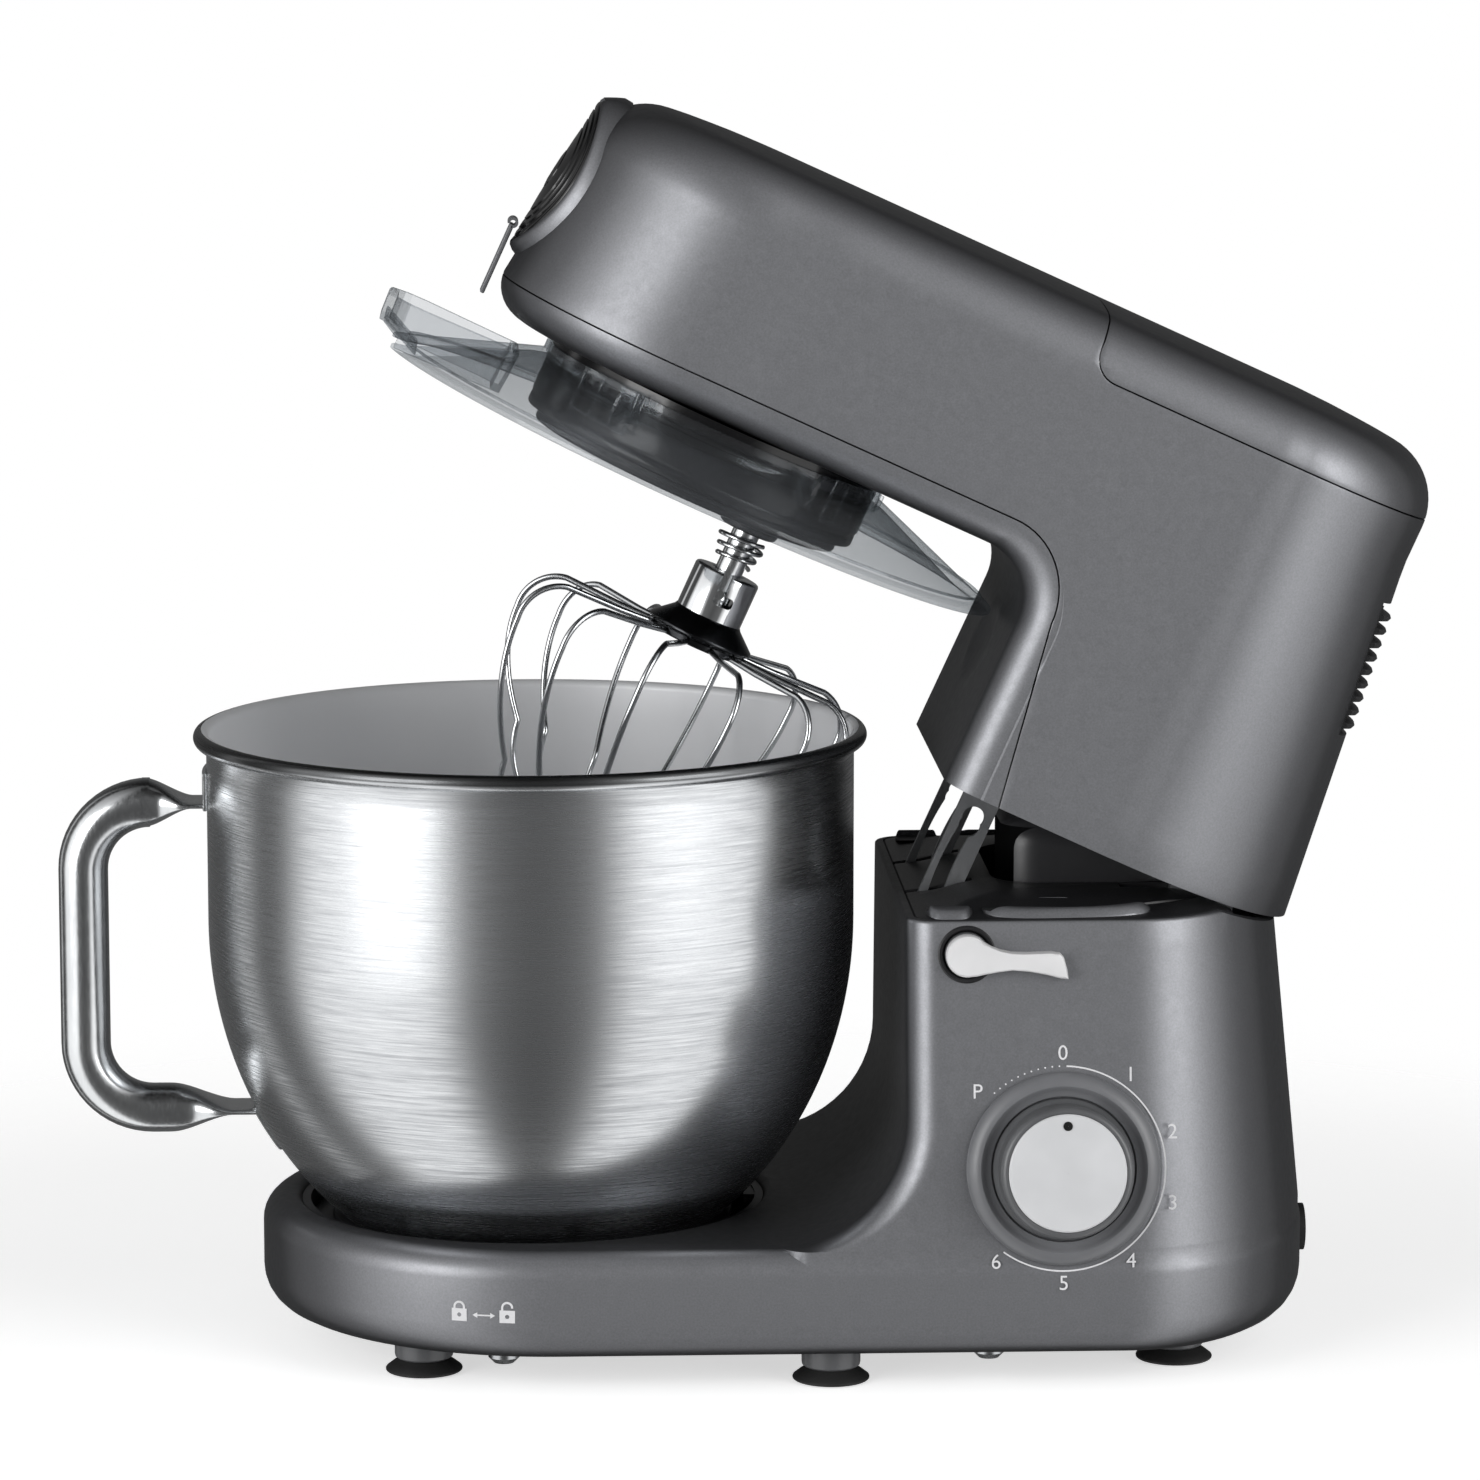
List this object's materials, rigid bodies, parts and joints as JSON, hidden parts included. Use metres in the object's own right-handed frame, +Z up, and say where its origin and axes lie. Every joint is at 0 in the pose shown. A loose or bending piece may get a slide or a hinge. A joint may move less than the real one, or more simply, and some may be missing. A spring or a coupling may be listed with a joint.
{
  "type": "stand mixer",
  "caption": "Tilt-head stand mixer with the head raised: steel bowl with side handle, planetary whisk, clear splash guard with chute, speed dial and head lock lever.",
  "frame": {"origin": "on the plane of the feet, under the bowl's axis", "axes": "+Z up, -X towards the nose and the bowl's handle, -Y the side with the speed dial and the lever"},
  "size_m": [0.4884, 0.24, 0.4415],
  "materials": {
    "body_shell": "satin graphite paint with fine metal flake over moulded ABS",
    "knob_trim": "satin silver lacquer",
    "dial_insert": "fine spun brushing",
    "black_moulding": "fine grained black nylon and ABS",
    "black_gloss": "polished black",
    "rubber": "matt black rubber",
    "bowl_steel": "brushed stainless sheet outside, satin inside",
    "polished_steel": "polished stainless and chrome",
    "turned_steel": "turned and ground steel",
    "cast_alloy": "die cast, as cast",
    "laminations": "stacked electrical steel",
    "copper": "enamelled copper wire",
    "bronze": "sintered bronze and brass",
    "nylon": "natural nylon",
    "circuit_board": "coated board",
    "capacitor_film": "dipped film",
    "clear_guard": "clear smoke-grey polycarbonate"
  },
  "bodies": {
    "base_unit": {"base_shell": "body_shell", "base_plate": "black_moulding", "suction_feet": "rubber", "plate_screws": "turned_steel", "bowl_lock_ring": "black_moulding", "deck_cover": "black_moulding", "hinge_turret": "body_shell", "hinge_shaft": "turned_steel", "dial_bezel": "body_shell", "speed_switch": "nylon", "control_board": "circuit_board", "filter_capacitor": "capacitor_film", "safety_switch": "black_moulding", "cord_gland": "rubber"},
    "lock_lever": {"lever_handle": "knob_trim", "lever_rod": "turned_steel", "lever_spring": "turned_steel"},
    "speed_dial": {"dial_knob": "knob_trim", "dial_face": "dial_insert"},
    "head": {"head_upper_shell": "body_shell", "head_lower_shell": "body_shell", "rear_cover": "body_shell", "vent_louvres": "black_moulding", "nose_ring": "body_shell", "head_chassis": "cast_alloy", "hinge_arms": "cast_alloy", "hinge_bushes": "bronze", "lock_arms": "cast_alloy", "motor_stator": "laminations", "motor_coils": "copper", "motor_posts": "turned_steel", "motor_top_frame": "cast_alloy", "brush_holders": "bronze", "gearbox_housing": "cast_alloy", "gearbox_lid": "cast_alloy", "shaft_bearings": "turned_steel", "planet_housing": "black_moulding", "ring_gear": "turned_steel", "splash_guard": "clear_guard", "drive_belt": "rubber"},
    "outlet_flap": {"hub_cover": "black_gloss", "hub_cover_tab": "knob_trim"},
    "carrier": {"main_gear": "nylon", "main_spindle": "turned_steel", "planet_carrier": "black_moulding"},
    "tool_drive": {"planet_gear": "nylon", "tool_shaft": "polished_steel", "tool_spring": "polished_steel"},
    "whisk": {"whisk_hub": "polished_steel", "whisk_wires": "polished_steel"},
    "idler": {"drive_pulley": "black_moulding", "drive_pinion": "turned_steel"},
    "motor": {"motor_rotor": "laminations", "cooling_fan": "black_moulding", "motor_pulley": "black_moulding"},
    "bowl_seat": {"bowl_wear_disc": "black_moulding"},
    "bowl_unit": {"bowl": "bowl_steel", "bowl_foot": "black_moulding", "bowl_handle": "polished_steel"}
  },
  "joints": [
    {"name": "head_tilt", "type": "hinge", "parent": "base_unit", "child": "head", "pos_m": [0.232, 0, 0.1345], "axis": [0, 1, 0], "range_deg": [-24.5, 0]},
    {"name": "lock_lever_lift", "type": "hinge", "parent": "base_unit", "child": "lock_lever", "pos_m": [0.149, 0, 0.1516], "axis": [0, -1, 0], "range_deg": [0, 20], "stiffness_Nm_per_rad": 0.2, "springref_deg": -11.46},
    {"name": "speed_dial_turn", "type": "hinge", "parent": "base_unit", "child": "speed_dial", "pos_m": [0.182, -0.10045, 0.078], "axis": [0, 0.9925, -0.122], "range_deg": [-46, 216]},
    {"name": "outlet_flap_open", "type": "hinge", "parent": "head", "child": "outlet_flap", "pos_m": [0.02638, 0, 0.43953], "axis": [0, 1, 0], "range_deg": [0, 70]},
    {"name": "carrier_spin", "type": "hinge", "parent": "head", "child": "carrier", "pos_m": [0.06464, 0, 0.32671], "axis": [0.4147, 0, 0.91], "continuous": true},
    {"name": "tool_spin", "type": "hinge", "parent": "carrier", "child": "tool_drive", "pos_m": [0.08966, 0, 0.31531], "axis": [0.4147, 0, 0.91], "continuous": true},
    {"name": "idler_spin", "type": "hinge", "parent": "head", "child": "idler", "pos_m": [0.10729, 0, 0.30727], "axis": [0.4147, 0, 0.91], "continuous": true},
    {"name": "motor_spin", "type": "hinge", "parent": "head", "child": "motor", "pos_m": [0.22388, 0, 0.25414], "axis": [0.4147, 0, 0.91], "continuous": true},
    {"name": "whisk_pull", "type": "slide", "parent": "tool_drive", "child": "whisk", "axis": [0.4147, 0, 0.91], "range_m": [-0.02, 0]},
    {"name": "bowl_turn", "type": "hinge", "parent": "base_unit", "child": "bowl_seat", "pos_m": [0, 0, 0.035], "axis": [0, 0, 1], "range_deg": [-25, 0]},
    {"name": "bowl_lift", "type": "slide", "parent": "bowl_seat", "child": "bowl_unit", "axis": [0, 0, 1], "range_m": [0, 0.008]}
  ],
  "couplings": [
    {"joint": "tool_spin", "follows": "carrier_spin", "ratio": -3.2},
    {"joint": "idler_spin", "follows": "carrier_spin", "ratio": -4},
    {"joint": "motor_spin", "follows": "carrier_spin", "ratio": -16}
  ]
}
